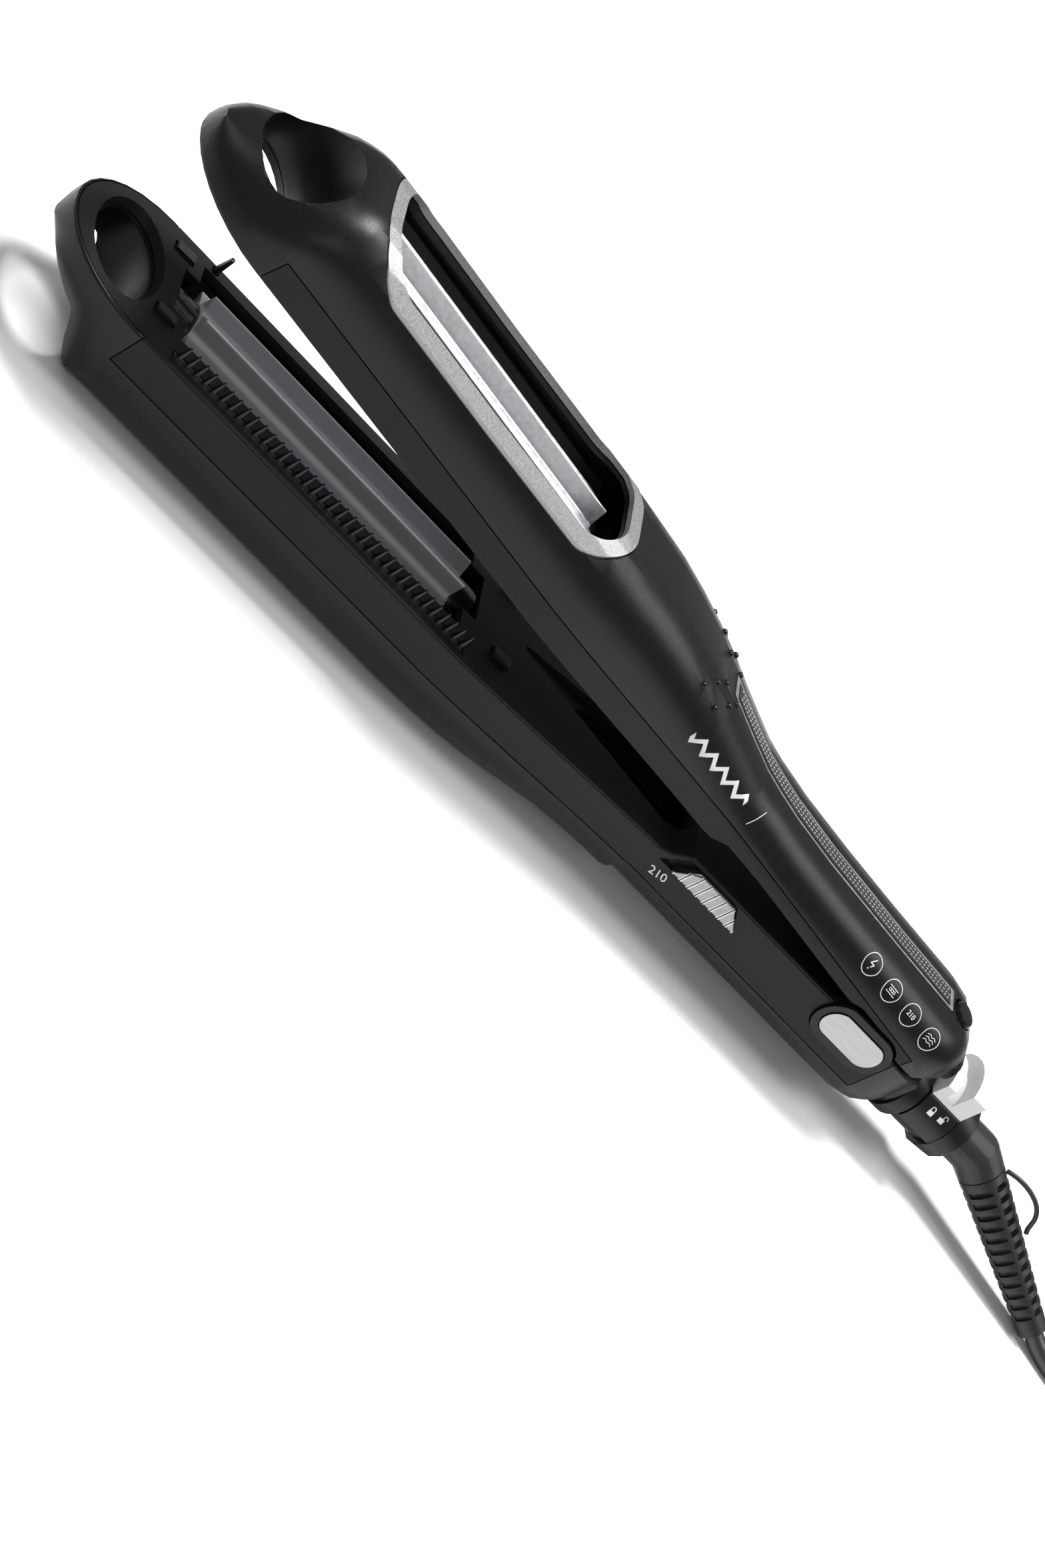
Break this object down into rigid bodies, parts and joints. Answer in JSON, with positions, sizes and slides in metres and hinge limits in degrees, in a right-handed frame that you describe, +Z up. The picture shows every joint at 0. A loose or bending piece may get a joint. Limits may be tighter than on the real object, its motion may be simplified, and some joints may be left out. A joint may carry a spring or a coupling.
{
  "type": "roller hair crimper",
  "caption": "Hinged hair crimper with two meshing ribbed heated rollers, finger-loop tips, a comb rail, a slide control, a lock ring and a cord with a tied hank and plug.",
  "frame": {"origin": "on the surface the tool lies on, under the middle of the lower roller slot and the middle of the arms' width", "axes": "+X from the finger-loop tips towards the hinge and the cord, +Y towards the far side of the arms, +Z up from the lower arm to the upper arm"},
  "size_m": [0.5954, 0.0572, 0.0791],
  "materials": {
    "satin_black": "satin moulded plastic",
    "band_black": "fine matt moulded plastic",
    "comb_black": "satin",
    "pad_black": "soft bumper",
    "shield_black": "matt heat-proof coating",
    "bearing_black": "glossy heat-proof plastic",
    "roller_grey": "smooth ceramic coating",
    "roller_silver": "polished",
    "frame_silver": "grainy silver",
    "slide_silver": "bright",
    "cap_silver": "satin",
    "inner_steel": "plain",
    "board_green": "solder mask",
    "cam_white": "satin",
    "strip_black": "grippy, with fine dots",
    "rim_grey": "satin",
    "relief_black": "flexible moulding",
    "cord_black": "smooth cord sheath",
    "tie_black": "matt",
    "plug_black": "satin",
    "pin_brass": "plain"
  },
  "bodies": {
    "lower_arm": {"lower_cover": "band_black", "lower_shell": "satin_black", "comb": "comb_black", "hair_guide": "comb_black", "lower_stop_pad_1": "pad_black", "lower_stop_pad_2": "pad_black", "lower_stop_pad_3": "pad_black", "lower_stop_pad_4": "pad_black", "lower_heat_shield": "shield_black", "lower_heater_rod": "inner_steel", "lower_rod_seat_tip": "bearing_black", "lower_rod_seat_tail": "bearing_black", "belly_screw_1": "inner_steel", "belly_screw_2": "inner_steel", "belly_screw_3": "inner_steel", "tail_collar": "satin_black", "circuit_board": "board_green", "hinge_cheek_near": "satin_black", "hinge_cheek_far": "satin_black", "hinge_cap_near": "cap_silver", "hinge_cap_far": "cap_silver", "hinge_pin": "inner_steel", "opening_spring": "inner_steel"},
    "lower_roller": {"lower_roller": "roller_grey", "lower_roller_cap_tip": "bearing_black", "lower_roller_cap_tail": "bearing_black"},
    "slide": {"temperature_slide": "slide_silver"},
    "lock": {"lock_ring": "satin_black", "lock_cam": "cam_white"},
    "upper_arm": {"upper_cover": "band_black", "upper_shell": "satin_black", "window_frame": "frame_silver", "grip_strip": "strip_black", "strip_rim": "rim_grey", "strip_tab": "satin_black", "upper_stop_pad_1": "pad_black", "upper_stop_pad_2": "pad_black", "upper_stop_pad_3": "pad_black", "upper_stop_pad_4": "pad_black", "upper_heat_shield_near": "shield_black", "upper_heat_shield_far": "shield_black", "upper_heater_rod": "inner_steel", "upper_rod_seat_tip": "bearing_black", "upper_rod_seat_tail": "bearing_black"},
    "upper_roller": {"upper_roller": "roller_silver", "upper_roller_cap_tip": "bearing_black", "upper_roller_cap_tail": "bearing_black"},
    "cord_end": {"swivel_elbow": "relief_black", "strain_relief": "relief_black", "hang_loop": "relief_black", "cord": "cord_black", "cord_hank": "cord_black", "cord_tie": "tie_black", "cord_tail": "cord_black", "plug_body": "plug_black", "plug_pin_1": "pin_brass", "plug_pin_2": "pin_brass"}
  },
  "joints": [
    {"name": "arm_hinge", "type": "hinge", "parent": "lower_arm", "child": "upper_arm", "pos_m": [0.1926, 0, 0.026], "axis": [0, 1, 0], "range_deg": [-6.2, 0], "stiffness_Nm_per_rad": 1.2, "springref_deg": 9.17},
    {"name": "lower_roller_spin", "type": "hinge", "parent": "lower_arm", "child": "lower_roller", "pos_m": [0, 0.00275, 0.0178], "axis": [1, 0, 0], "continuous": true},
    {"name": "upper_roller_spin", "type": "hinge", "parent": "upper_arm", "child": "upper_roller", "pos_m": [0.00238, 0.00275, 0.05801], "axis": [0.9938, 0, -0.1115], "continuous": true},
    {"name": "temperature_slide_travel", "type": "slide", "parent": "lower_arm", "child": "slide", "axis": [-1, 0, 0], "range_m": [0, 0.004]},
    {"name": "lock_turn", "type": "hinge", "parent": "lower_arm", "child": "lock", "pos_m": [0.2394, 0, 0.0186], "axis": [1, 0, 0], "range_deg": [0, 60]},
    {"name": "cord_swivel", "type": "hinge", "parent": "lower_arm", "child": "cord_end", "pos_m": [0.2424, 0, 0.0186], "axis": [1, 0, 0], "continuous": true}
  ],
  "couplings": [
    {"joint": "upper_roller_spin", "follows": "lower_roller_spin", "ratio": -1}
  ]
}
